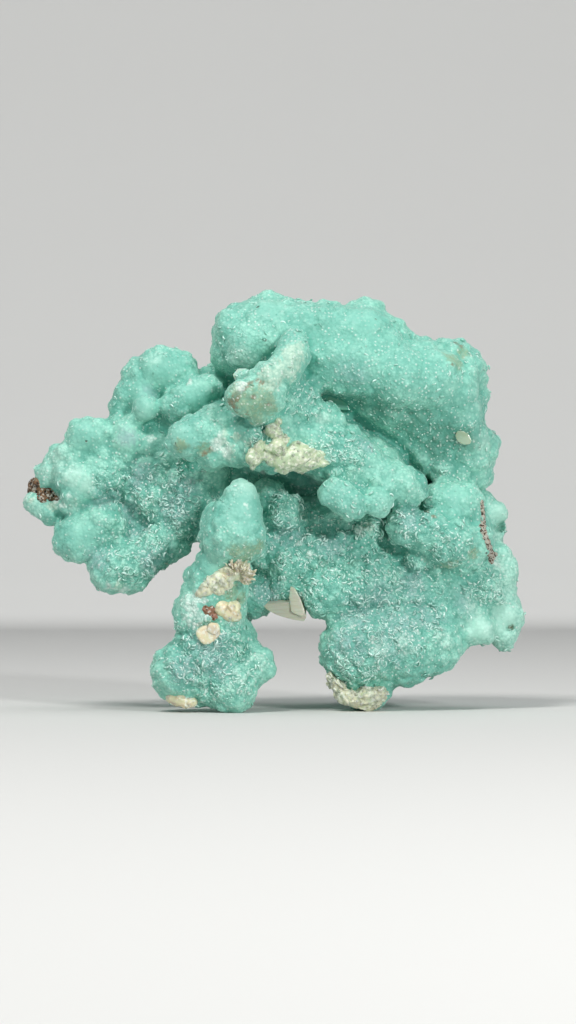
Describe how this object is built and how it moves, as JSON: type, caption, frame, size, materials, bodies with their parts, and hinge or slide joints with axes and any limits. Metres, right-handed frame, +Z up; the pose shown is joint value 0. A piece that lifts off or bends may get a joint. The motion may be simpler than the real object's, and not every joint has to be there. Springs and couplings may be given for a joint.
{
  "type": "botryoidal smithsonite specimen",
  "caption": "Hand-sized blue-green botryoidal smithsonite mass with cream calcite crystals and brown gossan, standing on its own feet.",
  "frame": {"origin": "on the ground below the middle of the specimen's box, under its arch", "axes": "+Z up, +X to the viewer's right along the longest side, the front that the picture shows faces -Y"},
  "size_m": [0.07, 0.0384, 0.0584],
  "materials": {
    "smithsonite": "satin",
    "cream_calcite": "satin",
    "blade_calcite": "satin",
    "plate_calcite": "satin",
    "gossan": "matte"
  },
  "bodies": {
    "root": {"smithsonite": "smithsonite", "calcite_blades_arch": "blade_calcite", "calcite_cluster_leg": "cream_calcite", "calcite_crust_centre": "cream_calcite", "calcite_crust_left_foot": "cream_calcite", "calcite_patch_leg": "cream_calcite", "calcite_plate_crevice": "plate_calcite", "calcite_plate_upper": "plate_calcite", "calcite_tooth_leg": "cream_calcite", "calcite_tuft_right_foot": "cream_calcite", "gossan_core_left": "gossan", "gossan_seam_right": "gossan", "gossan_spot_leg": "gossan"}
  },
  "joints": []
}
